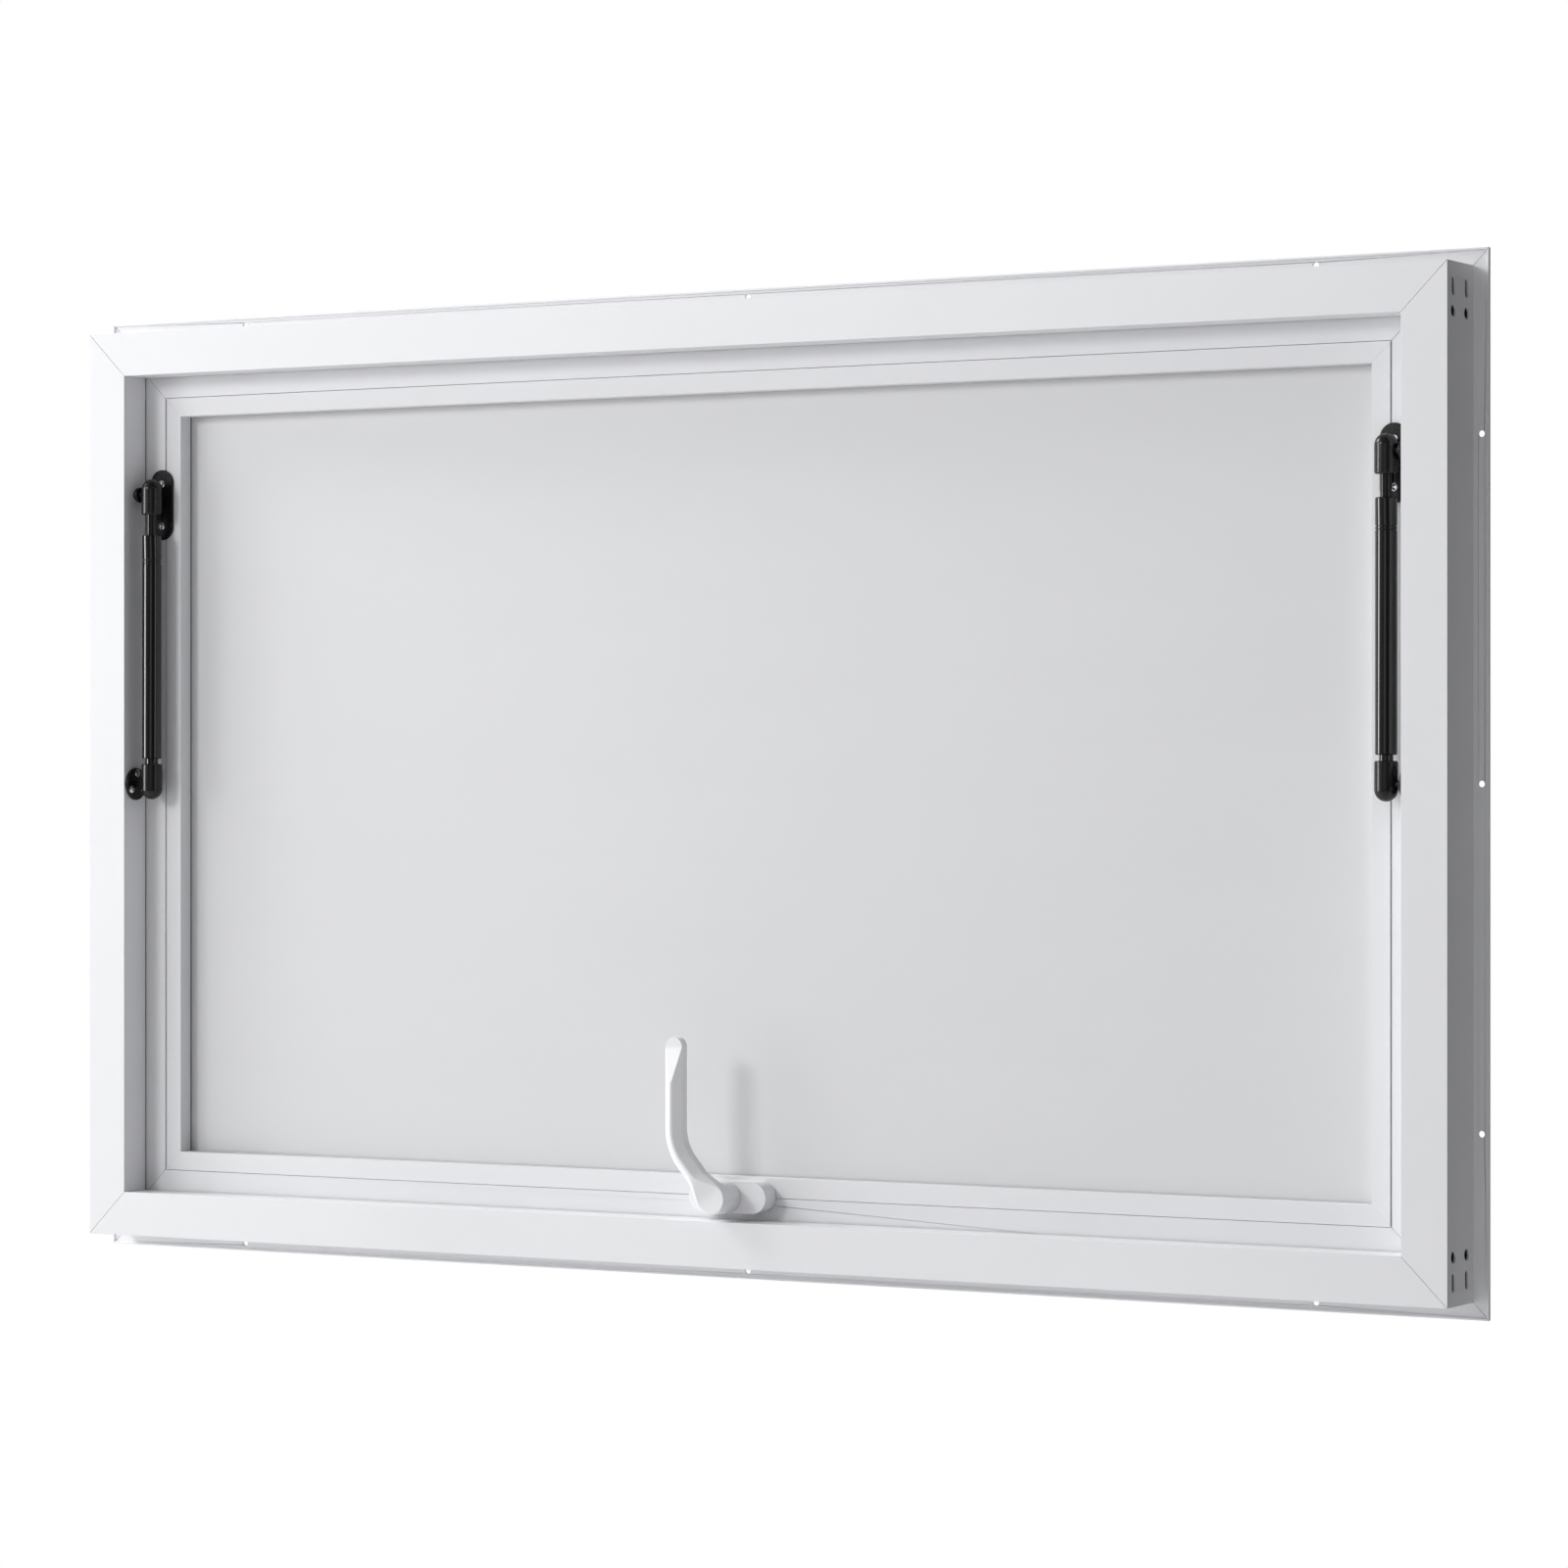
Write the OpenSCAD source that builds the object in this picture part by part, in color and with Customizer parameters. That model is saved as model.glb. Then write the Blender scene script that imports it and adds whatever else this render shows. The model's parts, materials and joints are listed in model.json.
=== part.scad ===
// Top-hung serving-window hatch: an aluminium frame that is screwed into a wall cut-out, a solid
// panelled sash that swings outwards and up on two gas struts, and a cranked lever handle that
// draws two lock pins along the bottom rail.
// +X is to the right for someone standing indoors, +Y points outdoors and +Z points up.
// The origin is the middle of the window, on the indoor face of the fixing flange.

/* [Frame] */
// Width of the frame body that enters the wall cut-out
body_w = 1357; // [900:1:1700]
// Height of the frame body that enters the wall cut-out
body_h = 838; // [690:1:1100]
// Depth from the indoor trim face to the flange
frame_depth = 55.2; // [50:0.1:70]
// Width of the indoor trim face
trim_w = 40; // [33:0.5:50]
// Wall of the frame extrusion
frame_wall = 1.8; // [1.4:0.1:2.4]
// Reach of the flange beyond the frame body
flange_reach = 14; // [12:0.5:30]
// Height and width of the lip along the flange edge
flange_lip = 1.7; // [1:0.1:3]
// Diameter of the fixing holes in the flange
flange_hole_d = 5.4; // [4:0.1:6]
// Open joint left between two mitred bars
mitre_gap = 0.4; // [0.1:0.05:0.5]

/* [Sash] */
// Width of the sash bar from its outer edge to the bead groove
sash_bar_w = 38; // [31:0.5:46]
// Thickness of the sash from its indoor to its outdoor face
sash_depth = 23; // [21:0.5:28]
// Distance from the frame stop to the sash, filled by the gasket
gasket_gap = 1.5; // [1.2:0.1:3]
// Gap between the sash and the frame at the head and the sill
sash_gap = 5.3; // [4.4:0.1:8]
// Distance from the side of the opening to the bead groove, at the stiles
groove_inset_x = 22.1; // [20:0.1:26]
// Distance from the side of the opening to the bead groove, at the rails
groove_inset_z = 19.3; // [18:0.1:24]
// Width of the bead that holds the panel
bead_w = 17.6; // [14:0.1:22]
// Thickness of the seal between the bead and the panel
panel_seal_t = 1.8; // [1:0.1:4]
// Wall of the sash and bead extrusions
sash_wall = 1.8; // [1.4:0.1:2.2]
// Thickness of the composite panel
panel_t = 3; // [3:0.5:4]
// Thickness of each metal skin on the panel
panel_skin = 0.5; // [0.3:0.1:0.8]

/* [Hinge] */
// Distance from each end of the continuous hinge to the side of the frame body
hinge_end_in = 48.5; // [20:0.5:200]
// Number of knuckles along the hinge
knuckles = 13; // [5:2:21]
// Diameter of the hinge pin
hinge_pin_d = 3; // [2.5:0.1:4]
// Width of each hinge leaf
leaf_w = 16; // [14:0.5:18]

/* [Gas struts] */
// Diameter of the strut tube
tube_d = 18; // [15:0.5:22]
// Diameter of the strut rod
rod_d = 10; // [8:0.5:12]
// Length of rod left between the tube and the upper socket with the sash shut
rod_shown = 18.9; // [5:0.1:30]
// Distance between the two ball centres with the sash shut
strut_len = 269; // [260:1:300]
// Height of the lower ball above the middle of the window
lower_ball_z = 0; // [-60:1:10]
// Distance from the strut axis to the jamb
strut_offset = 19.6; // [18:0.1:24]
// Distance from the strut axis to the sash face behind it
strut_clear = 17.5; // [17:0.5:22]
// Diameter of the end sockets
socket_d = 19.4; // [17:0.1:21]
// Diameter of the ball on each stud
ball_d = 10; // [8:0.5:10]

/* [Handle] */
// Distance of the handle from the middle of the bottom rail
handle_x = 2.4; // [-60:0.1:60]
// Height of the handle axis above the bead groove of the bottom rail
handle_up = 1.2; // [0:0.1:2]
// Length of the handle base
base_len = 77; // [76:0.5:90]
// Height of the handle base
base_h = 27.4; // [26:0.1:32]
// How far the handle base stands off the sash
base_t = 19; // [18.5:0.5:24]
// Diameter of the lever hub
hub_d = 27; // [24:0.5:30]
// How far the hub stands off the base
hub_t = 28.3; // [22:0.1:34]
// Width of the lever
lever_w = 16.6; // [14:0.1:20]
// Sideways offset of the grip from the hub
lever_offset = 36.9; // [20:0.1:50]
// Height of the bend above the hub
bend_rise = 43.5; // [34:0.5:60]
// Height of the lever tip above the hub
lever_rise = 139; // [120:1:170]
// Turn of the lever from free to locked
lever_turn = 90; // [90:1:90]
// Radius of the crank inside the handle base
crank_r = 7; // [5:0.5:7]
// Distance of each lock pin from the side of the opening
lock_pin_in = 188.5; // [110:0.5:400]

/* [Hidden] */
$fn = 48;

// Colours
white_coat = [0.90, 0.90, 0.91];
panel_white = [0.84, 0.84, 0.85];
rubber_black = [0.05, 0.05, 0.05];
strut_black = [0.03, 0.03, 0.03];
plain_aluminium = [0.70, 0.71, 0.72];
bright_steel = [0.80, 0.80, 0.82];

// Small amounts shared by many pieces
cut = 1;
slip = 0.3;
run = 0.05;
wedge_reach = 80;

// Half sizes of the opening inside the trim
open_x = body_w / 2 - trim_w;
open_z = body_h / 2 - trim_w;
flange_t = frame_wall;

// Sash outline, as half sizes from the middle and depths from the indoor trim face
groove_x = open_x - groove_inset_x;
groove_z = open_z - groove_inset_z;
sash_x = groove_x + sash_bar_w;
sash_z = groove_z + sash_bar_w;
sash_back = frame_depth + flange_t;
sash_face = sash_back - sash_depth;

// Rebate of the frame around the sash: the stop it closes against and the rear chamber beside it
stop_depth = sash_face - gasket_gap;
rebate_z = sash_z + sash_gap;
rear_w = body_h / 2 - rebate_z;

// Corner joints of the frame
key_arm = 70;
key_slot_at = 19.8;
key_hole_at = 40;
key_slot = [6.5, 15.6];
key_hole_d = 10;
front_key_w = 22;
key_pocket_share = 0.6;
key_pocket_in = 1;
front_key_share = 0.4;
rear_key_in = 8.5;
front_key_d = front_key_share * stop_depth;
rear_key_d = stop_depth + rear_key_in;

// Fixing holes: share of the flange length for the outer ones on each side
flange_hole_in = flange_reach / 2;
hole_share_x = 0.39;
hole_share_z = 0.3265;
flange_hole_x = hole_share_x * (body_w + 2 * flange_reach);
flange_hole_z = hole_share_z * (body_h + 2 * flange_reach);

// Sash and panel layout
leg_t = 1.8;
leg_w = 13;
tape_t = 1;
panel_back = sash_back - leg_t - tape_t;
panel_front = panel_back - panel_t;
bead_back = panel_front - panel_seal_t;
bead_depth = bead_back - sash_face;
panel_margin = 2;
panel_x = groove_x - panel_margin;
panel_z = groove_z - panel_margin;
side_joint = 1.5;
rail_joint = 0.4;
bead_mitre = 0.05;
panel_seal_in = 4;
sash_key_arm = 60;

// Hinge
knuckle_r = 3.5;
leaf_t = 1.5;
hinge_d = sash_back + knuckle_r;
hinge_z = sash_z + sash_gap / 2;
hinge_len = body_w - 2 * hinge_end_in;
knuckle_len = hinge_len / knuckles;
knuckle_gap = 0.5;
leaf_lift = 0.6;
leaf_start = knuckle_r + leaf_lift;
hinge_screw_d = 4;
hinge_screw_head = 7;
hinge_screw_pitch = 2 * knuckle_len;
hinge_screw_grip = 5;

// Struts
strut_x = open_x - strut_offset;
strut_inset = sash_face - strut_clear;
upper_ball_z = lower_ball_z + strut_len;
ball_r = ball_d / 2;
stud_r = 3;
socket_len = 33;
socket_tail = 18.7;
tube_start = 23.4;
tube_len = strut_len - tube_start - rod_shown - socket_tail;
tube_wall = 1.5;
gland_len = 14;
neck_d = 11.6;
end_thread_d = 8;
socket_dome = socket_len - socket_tail;
socket_groove = 1.6;
socket_groove_t = 1.4;
socket_groove_in = 1.2;
thread_gap = 1.4;
tube_edge = 0.8;
ring_pitch = 3;
piston_len = 10;
piston_above = 20;
ring_d = 1.2;
ring_back = 23.4;
disc_edge = 1;
lower_disc_d = 2 * min(strut_inset, stop_depth - strut_inset) - 2 * disc_edge;
lower_disc_t = 3;
lower_screw_r = lower_disc_d / 3;
bracket_t = 2.5;
bracket_w = 25;
bracket_h = 65.5;
bracket_drop = 9;
bracket_z = upper_ball_z - bracket_drop;
bracket_screw_z = 19.6;
bracket_shift = 0.1;
bracket_x = strut_x + bracket_shift;
tab_t = 3;
tab_in = 4;
tab_outer_x = open_x - tab_in;
tab_half = 7;
rivet_r = 6.3;
rivet_t = 3;
rivet_edge = 2;
bracket_screw_head = 7;
bracket_screw_d = 4;
bracket_screw_len = 9;
head_share = 0.3;
dome_share = 0.62;
recess_share = 0.6;
recess_w_share = 0.13;

// Handle
handle_z = -groove_z + handle_up;
base_front = sash_face - base_t;
hub_front = base_front - hub_t;
base_wall = 3;
base_side = 2.4;
hub_bore_d = 14;
ridge_h = 6.7;
ridge_r = 2;
lever_t = 8.8;
spoon_len = 30;
spoon_above = 9;
crank_disc_d = 21;
crank_disc_t = 4.5;
crank_pin_d = 4;
crank_start = base_front + base_wall + slip;
crank_back = crank_start + crank_disc_t;
crank_pin_len = 5.5;
square = 8;
half_turn = lever_turn / 2;
crank_pin_x = crank_r * sin(half_turn);
crank_pin_z = crank_r * cos(half_turn);
lock_stroke = 2 * crank_pin_x;
crank_play = 0.45;
slide_t = 3;
slide_gap = 1;
slide_start = crank_back + slide_gap;
slide_h = 9;
slide_x = 18;
slide_clear = 0.8;
prong_w = 5;
prong_h = 3.6;
prong_x = 12.6;
prong_drop = 7.6;
prong_reach = 11;
prong_play = 0.5;
prong_z = handle_z - prong_drop;
prong_end = sash_face + prong_reach;
backplate_t = 2;
backplate_screw_x = 31;
handle_screw_len = 9;
handle_screw_z = -groove_z - sash_wall - bracket_screw_d / 2 - slip;

// Lock drive inside the bottom rail
lock_pin_x = open_x - lock_pin_in;
bar_t = 2.5;
bar_w = 15;
bar_end = 30;
bar_in = 3.5;
bar_lift = 0.2;
bar_d = sash_face + bar_in;
bar_z = -sash_z + sash_wall + bar_lift;
link_x = prong_x - bar_lift;
link_t = 6;
link_top = 1.2;
pin_d = 7;
pin_in = 12;
pin_lift = 1.7;
pin_neck = 1;
pin_depth = sash_face + pin_in;
pin_tip = -rebate_z + pin_lift;
keeper_t = 1.2;
keeper_lip_t = 2;
keeper_play = 0.6;
keeper_in = 9;
keeper_reach = 26;
keeper_behind = 14;
keeper_end = 4;
keeper_clear = 1;
keeper_screw_d = 3;
keeper_screw_head = 5.6;
keeper_screw_len = 7;
keeper_screw_x = [keeper_end - keeper_reach, keeper_behind - keeper_end];

// Everything is drawn with its depth measured from the indoor trim face
module placed() {
    translate([0, -frame_depth, 0]) children();
}

// A bar along X: its section is drawn as [depth, distance inwards from the outer edge]
module bar(len) {
    translate([-len / 2, 0, 0]) rotate([90, 0, 90]) linear_extrude(len) children();
}

// The wedge that a bar keeps once both its ends are cut at 45 degrees
module mitre_wedge(len, outer, inner, gap) {
    g = gap / 2;
    translate([0, wedge_reach, 0]) rotate([90, 0, 0]) linear_extrude(2 * wedge_reach)
        polygon([
            [-len / 2 - outer + g, -outer], [len / 2 + outer - g, -outer],
            [len / 2 - inner - g, inner], [-len / 2 + inner + g, inner]
        ]);
}

module mitred_bar(len, outer, inner, gap = mitre_gap) {
    intersection() {
        bar(len + 2 * outer) children();
        mitre_wedge(len, outer, inner, gap);
    }
}

// The four sides of a rectangle, from a bar drawn as its bottom side
module on_bottom(half_z) { translate([0, 0, -half_z]) children(); }
module on_top(half_z) { mirror([0, 0, 1]) on_bottom(half_z) children(); }
module on_left(half_x) { translate([-half_x, 0, 0]) rotate([0, 90, 0]) children(); }
module on_right(half_x) { mirror([1, 0, 0]) on_left(half_x) children(); }

module both_sides() {
    children();
    mirror([1, 0, 0]) children();
}

module four_corners() {
    both_sides() {
        children();
        mirror([0, 0, 1]) children();
    }
}

// A rod along Y from depth a to depth b
module along_y(r, a, b) {
    translate([0, b, 0]) rotate([90, 0, 0]) cylinder(r = r, h = b - a);
}

// A dome-head screw along +Y with its head at the depth of the surface it holds
module screw(d, head, len) {
    head_t = head * head_share;
    dome_r = head * dome_share;
    recess_w = head * recess_w_share;
    difference() {
        intersection() {
            along_y(head / 2, -head_t, 0);
            translate([0, dome_r - head_t, 0]) sphere(r = dome_r);
        }
        for (a = [0, 90])
            rotate([0, a, 0]) translate([-head * recess_share / 2, -head_t - cut, -recess_w / 2])
                cube([head * recess_share, head_t * recess_share + cut, recess_w]);
    }
    along_y(d / 2, 0, len);
}

// ---------------------------------------------------------------- frame

module frame_section() {
    difference() {
        union() {
            square([stop_depth, trim_w]);
            square([frame_depth, rear_w]);
            translate([frame_depth, -flange_reach]) square([flange_t, flange_reach + rear_w]);
            translate([frame_depth - flange_lip, -flange_reach]) square([flange_lip, flange_lip]);
        }
        translate([frame_wall, frame_wall])
            square([stop_depth - 2 * frame_wall, trim_w - 2 * frame_wall]);
        translate([stop_depth, frame_wall])
            square([frame_depth - stop_depth, rear_w - 2 * frame_wall]);
    }
}

module frame_bar(len) {
    mitred_bar(len, flange_reach, trim_w) frame_section();
}

module flange_holes(half_len_at) {
    for (x = [-half_len_at, 0, half_len_at])
        translate([x, 0, -flange_hole_in])
            along_y(flange_hole_d / 2, frame_depth - cut, frame_depth + flange_t + cut);
}

module key_openings(len) {
    for (s = [-1, 1])
        for (d = [front_key_d, rear_key_d]) {
            translate([s * (len / 2 - key_hole_at), d, -cut])
                cylinder(d = key_hole_d, h = frame_wall + 2 * cut);
            translate([s * (len / 2 - key_slot_at), d, -cut]) {
                flat = key_slot[1] - key_slot[0];
                translate([-flat / 2, -key_slot[0] / 2, 0])
                    cube([flat, key_slot[0], frame_wall + 2 * cut]);
                for (e = [-1, 1])
                    translate([e * flat / 2, 0, 0])
                        cylinder(d = key_slot[0], h = frame_wall + 2 * cut);
            }
        }
}

module frame_rail() {
    difference() {
        frame_bar(body_w);
        flange_holes(flange_hole_x);
    }
}

module frame_jamb() {
    difference() {
        frame_bar(body_h);
        flange_holes(flange_hole_z);
        key_openings(body_h);
    }
}

module frame_head() {
    color(white_coat) placed() on_top(body_h / 2) frame_rail();
}

module frame_sill() {
    color(white_coat) placed() on_bottom(body_h / 2) frame_rail();
}

module frame_jamb_left() {
    color(white_coat) placed() on_left(body_w / 2) frame_jamb();
}

module frame_jamb_right() {
    color(white_coat) placed() on_right(body_w / 2) frame_jamb();
}

// An L-shaped key in a chamber, with its outer corner at the origin
module corner_key(wide, deep, arm) {
    cube([arm, deep, wide]);
    cube([wide, deep, arm]);
}

// The pockets in a frame key of a given width, behind the openings in the jamb
module key_pockets(wide, inset, depth) {
    pocket_w = key_slot[0] - key_pocket_in;
    pocket_t = key_pocket_share * wide;
    translate([-cut, depth, key_hole_at - inset]) rotate([0, 90, 0])
        cylinder(d = key_hole_d - key_pocket_in, h = pocket_t + cut);
    translate([-cut, depth - pocket_w / 2, key_slot_at - inset])
        cube([pocket_t + cut, pocket_w, key_slot[1] / 2]);
}

module front_corner_keys() {
    inset = frame_wall + slip;
    color(plain_aluminium) placed() four_corners()
        translate([-body_w / 2 + inset, inset, -body_h / 2 + inset]) difference() {
            corner_key(front_key_w, stop_depth - 2 * inset, key_arm);
            key_pockets(front_key_w, inset, front_key_d - inset);
        }
}

module rear_corner_keys() {
    inset = frame_wall + slip;
    wide = rear_w - 2 * inset;
    color(plain_aluminium) placed() four_corners()
        translate([-body_w / 2 + inset, stop_depth + slip, -body_h / 2 + inset]) difference() {
            corner_key(wide, frame_depth - stop_depth - 2 * slip, key_arm);
            key_pockets(wide, inset, rear_key_d - stop_depth - slip);
        }
}

module frame_gasket() {
    seal_w = 10;
    start = 0.15;
    color(rubber_black) placed() {
        for (side = [0, 1])
            mirror([0, 0, side]) on_bottom(open_z + seal_w + start)
                mitred_bar(2 * (open_x + seal_w + start), 0, seal_w)
                    translate([stop_depth, 0]) square([gasket_gap - slip, seal_w]);
        for (side = [0, 1])
            mirror([side, 0, 0]) on_left(open_x + seal_w + start)
                mitred_bar(2 * (open_z + seal_w + start), 0, seal_w)
                    translate([stop_depth, 0]) square([gasket_gap - slip, seal_w]);
    }
}

// ---------------------------------------------------------------- hinge

// One leaf on the frame side (first knuckle at 0) or the sash side (first knuckle at 1)
module hinge_leaf(first) {
    difference() {
        union() {
            translate([-hinge_len / 2, -knuckle_r, leaf_start])
                cube([hinge_len, leaf_t, leaf_w]);
            for (k = [first : 2 : knuckles - 1])
                translate([-hinge_len / 2 + k * knuckle_len + knuckle_gap / 2, 0, 0]) {
                    rotate([0, 90, 0])
                        cylinder(r = knuckle_r, h = knuckle_len - knuckle_gap);
                    translate([0, -knuckle_r, 0])
                        cube([knuckle_len - knuckle_gap, leaf_t, leaf_start + cut]);
                }
        }
        translate([-hinge_len / 2 - cut, 0, 0]) rotate([0, 90, 0])
            cylinder(r = hinge_pin_d / 2 + run, h = hinge_len + 2 * cut);
        hinge_screw_places() along_y(hinge_screw_d / 2 + run, -knuckle_r - cut, knuckle_r);
    }
}

module hinge_screw_places() {
    count = floor((knuckles - 1) / 4);
    for (k = [-count : count])
        translate([k * hinge_screw_pitch, 0, leaf_start + leaf_w / 2]) children();
}

module at_hinge() {
    translate([0, hinge_d, hinge_z]) children();
}

module hinge_frame_leaf() {
    color(white_coat) placed() at_hinge() hinge_leaf(0);
}

module hinge_sash_leaf() {
    color(white_coat) placed() at_hinge() mirror([0, 0, 1]) hinge_leaf(1);
}

module hinge_pin() {
    color(bright_steel) placed() at_hinge()
        translate([-hinge_len / 2, 0, 0]) rotate([0, 90, 0])
            cylinder(r = hinge_pin_d / 2, h = hinge_len);
}

// Screws driven from outdoors, so they point towards -Y
module hinge_screws() {
    hinge_screw_places() translate([0, leaf_t - knuckle_r, 0]) rotate([0, 0, 180])
        screw(hinge_screw_d, hinge_screw_head, hinge_screw_grip);
}

module hinge_frame_screws() {
    color(bright_steel) placed() at_hinge() hinge_screws();
}

module hinge_sash_screws() {
    color(bright_steel) placed() at_hinge() mirror([0, 0, 1]) hinge_screws();
}

// ---------------------------------------------------------------- sash

module sash_section() {
    box_d = sash_depth - 2 * sash_wall;
    translate([sash_face, 0]) difference() {
        union() {
            square([sash_depth, sash_bar_w]);
            translate([sash_depth - leg_t, 0]) square([leg_t, sash_bar_w + leg_w]);
        }
        translate([sash_wall, sash_wall]) square([box_d, sash_bar_w - 2 * sash_wall]);
    }
}

module sash_bar(len) {
    mitred_bar(len, 0, sash_bar_w + leg_w) sash_section();
}

module sash_bottom_rail() {
    pin_slot = [pin_d + lock_stroke + 1, pin_d + 1];
    color(white_coat) placed() difference() {
        on_bottom(sash_z) sash_bar(2 * sash_x);
        prong_slot(sash_face, sash_wall, 2 * prong_play);
        for (x = [-lock_pin_x, lock_pin_x])
            translate([x - pin_slot[0] + (pin_d + 1) / 2, pin_depth - pin_slot[1] / 2, -sash_z - cut])
                cube([pin_slot[0], pin_slot[1], sash_wall + 2 * cut]);
        for (s = [-1, 1])
            translate([handle_x + s * backplate_screw_x, 0, handle_screw_z])
                along_y(bracket_screw_d / 2 + run, sash_face - cut, sash_face + sash_wall + cut);
    }
}

module sash_top_rail() {
    color(white_coat) placed() on_top(sash_z) sash_bar(2 * sash_x);
}

module sash_left_stile() {
    color(white_coat) placed() on_left(sash_x) sash_bar(2 * sash_z);
}

module sash_right_stile() {
    color(white_coat) placed() on_right(sash_x) sash_bar(2 * sash_z);
}

module sash_corner_keys() {
    inset = sash_wall + slip;
    color(plain_aluminium) placed() four_corners()
        translate([-sash_x + inset, sash_face + inset, -sash_z + inset])
            corner_key(sash_bar_w - 2 * inset, sash_depth - 2 * inset, sash_key_arm);
}

// The bead is a hollow bar that stands off the sash bar by an open joint
module bead_section(joint) {
    translate([sash_face, joint]) difference() {
        square([bead_depth, bead_w - joint]);
        translate([sash_wall, sash_wall])
            square([bead_depth - 2 * sash_wall, bead_w - joint - 2 * sash_wall]);
    }
}

module bead_bar(len, joint) {
    mitred_bar(len, 0, bead_w, bead_mitre) bead_section(joint);
}

module bead_bottom() {
    color(white_coat) placed() on_bottom(groove_z) bead_bar(2 * groove_x, rail_joint);
}

module bead_top() {
    color(white_coat) placed() on_top(groove_z) bead_bar(2 * groove_x, rail_joint);
}

module bead_left() {
    color(white_coat) placed() on_left(groove_x) bead_bar(2 * groove_z, side_joint);
}

module bead_right() {
    color(white_coat) placed() on_right(groove_x) bead_bar(2 * groove_z, side_joint);
}

module panel_layer(front, back) {
    placed() translate([-panel_x, front, -panel_z])
        cube([2 * panel_x, back - front, 2 * panel_z]);
}

module panel_inner_skin() {
    color(panel_white) panel_layer(panel_front, panel_front + panel_skin);
}

module panel_core() {
    color(rubber_black) panel_layer(panel_front + panel_skin, panel_back - panel_skin);
}

module panel_outer_skin() {
    color(panel_white) panel_layer(panel_back - panel_skin, panel_back);
}

// A flat ring of four strips that follows the panel edge
module strip_ring(wide, front, back, edge_in) {
    for (side = [0, 1]) {
        mirror([0, 0, side]) on_bottom(panel_z - edge_in)
            mitred_bar(2 * (panel_x - edge_in), 0, wide)
                translate([front, 0]) square([back - front, wide]);
        mirror([side, 0, 0]) on_left(panel_x - edge_in)
            mitred_bar(2 * (panel_z - edge_in), 0, wide)
                translate([front, 0]) square([back - front, wide]);
    }
}

module panel_gasket() {
    seal_w = bead_w - panel_margin - panel_seal_in - mitre_gap;
    color(rubber_black) placed() strip_ring(seal_w, bead_back, panel_front, panel_seal_in);
}

module panel_tape() {
    tape_w = leg_w - panel_margin - tape_t;
    color(rubber_black) placed() strip_ring(tape_w, panel_back, panel_back + tape_t, 0);
}

// ---------------------------------------------------------------- struts

module at_lower_ball() {
    translate([-strut_x, strut_inset, lower_ball_z]) children();
}

module at_upper_ball() {
    translate([-strut_x, strut_inset, upper_ball_z]) children();
}

// A bullet-shaped socket: ball centre at 0, tail upwards, side mouth towards -X
module socket(tail_bore_d) {
    difference() {
        union() {
            cylinder(d = socket_d, h = socket_tail - disc_edge);
            translate([0, 0, socket_tail - disc_edge])
                cylinder(d1 = socket_d, d2 = socket_d - 2 * disc_edge, h = disc_edge);
            intersection() {
                translate([0, 0, -socket_dome + socket_d / 2]) sphere(d = socket_d, $fn = 64);
                translate([0, 0, -socket_dome]) cylinder(d = socket_d, h = socket_d / 2);
            }
            translate([0, 0, -socket_dome + socket_d / 2])
                cylinder(d = socket_d, h = socket_dome - socket_d / 2);
        }
        sphere(r = ball_r + run);
        translate([-socket_d, 0, 0]) rotate([0, 90, 0]) cylinder(r = ball_r - 2 * slip, h = socket_d);
        translate([0, 0, ball_r + disc_edge])
            cylinder(d = tail_bore_d, h = socket_tail);
        for (s = [-1, 1])
            translate([
                -socket_d / 2 + socket_groove_in,
                s * (socket_d / 2 - socket_groove_t) - socket_groove / 2, -socket_dome
            ])
                cube([socket_groove_t, socket_groove, socket_len - 2 * socket_groove]);
    }
}

// A ball on a stud that points towards -X, ending at the given distance from the ball
module ball_stud(reach) {
    sphere(r = ball_r);
    translate([-reach, 0, 0]) rotate([0, 90, 0]) cylinder(r = stud_r, h = reach);
}

module strut_rod() {
    rod_top = upper_ball_z - ball_r - thread_gap;
    rod_low = lower_ball_z + tube_start + tube_wall + piston_above;
    color(strut_black) placed() translate([-strut_x, strut_inset, rod_low])
        cylinder(d = rod_d, h = rod_top - rod_low);
}

module strut_piston() {
    low = lower_ball_z + tube_start + tube_wall + piston_above - piston_len;
    color(plain_aluminium) placed() translate([-strut_x, strut_inset, low])
        cylinder(r = tube_d / 2 - tube_wall - run, h = piston_len);
}

module upper_socket() {
    color(strut_black) placed() at_upper_ball()
        rotate([180, 0, 0]) socket(rod_d);
}

module strut_tube() {
    edge_d = tube_d - 2 * tube_edge;
    color(strut_black) placed() at_lower_ball() translate([0, 0, tube_start]) difference() {
        union() {
            translate([0, 0, socket_tail - tube_start])
                cylinder(d = neck_d, h = tube_start - socket_tail + cut);
            translate([0, 0, ball_r + thread_gap - tube_start])
                cylinder(d = end_thread_d, h = tube_start - ball_r - thread_gap);
            cylinder(d1 = edge_d, d2 = tube_d, h = tube_edge);
            translate([0, 0, tube_edge]) cylinder(d = tube_d, h = tube_len - 2 * tube_edge);
            translate([0, 0, tube_len - tube_edge]) cylinder(d1 = tube_d, d2 = edge_d, h = tube_edge);
        }
        translate([0, 0, tube_wall])
            cylinder(r = tube_d / 2 - tube_wall, h = tube_len);
        for (back = [ring_back, ring_back + ring_pitch])
            translate([0, 0, tube_len - back]) rotate_extrude()
                translate([tube_d / 2, 0]) circle(d = ring_d, $fn = 24);
    }
}

module strut_gland() {
    color(strut_black) placed() at_lower_ball()
        translate([0, 0, tube_start + tube_len - gland_len]) difference() {
            cylinder(r = tube_d / 2 - tube_wall, h = gland_len - tube_edge);
            translate([0, 0, -cut]) cylinder(d = rod_d + 2 * run, h = gland_len + 2 * cut);
        }
}

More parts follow.
